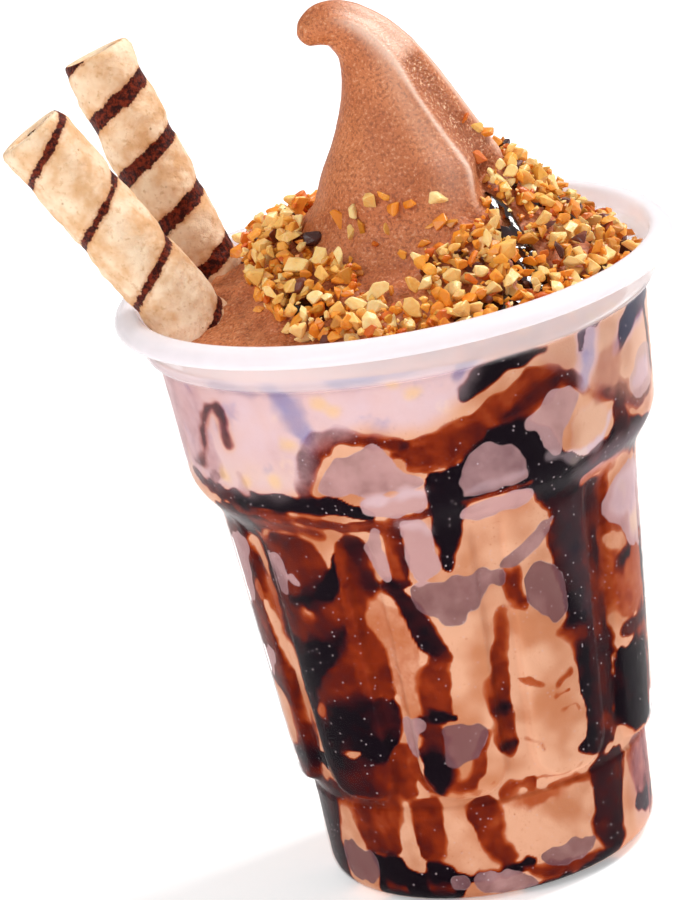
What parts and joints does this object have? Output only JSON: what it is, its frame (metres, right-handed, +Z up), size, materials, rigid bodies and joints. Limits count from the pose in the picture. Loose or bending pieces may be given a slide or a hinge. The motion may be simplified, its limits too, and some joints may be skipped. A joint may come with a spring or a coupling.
{
  "type": "ice cream sundae",
  "caption": "Soft serve sundae with a curled peak, chopped nuts, syrup and rolled wafers, in a clear fluted cup that stands on its flat foot.",
  "frame": {"origin": "middle of the cup's foot, on its underside", "axes": "+Z up along the cup's axis, -Y towards the front, -X towards the side that the wafers lean to"},
  "size_m": [0.1076, 0.0948, 0.1506],
  "materials": {
    "clear_plastic": "clear, slightly milky thermoformed plastic with a glossy face",
    "chocolate_ice_cream": "light chocolate soft serve, fine icy grain with a moist sheen",
    "roasted_nuts": "roasted peanut bits from pale cream to golden brown",
    "baked_wafer": "dry baked wafer, cream with dark cocoa stripes wound round it",
    "chocolate_syrup": "glossy near-black chocolate syrup, red-brown where thin"
  },
  "bodies": {
    "root": {"cup": "clear_plastic", "ice_cream": "chocolate_ice_cream", "chopped_nuts": "roasted_nuts", "wafer_front": "baked_wafer", "wafer_back": "baked_wafer"}
  },
  "joints": []
}
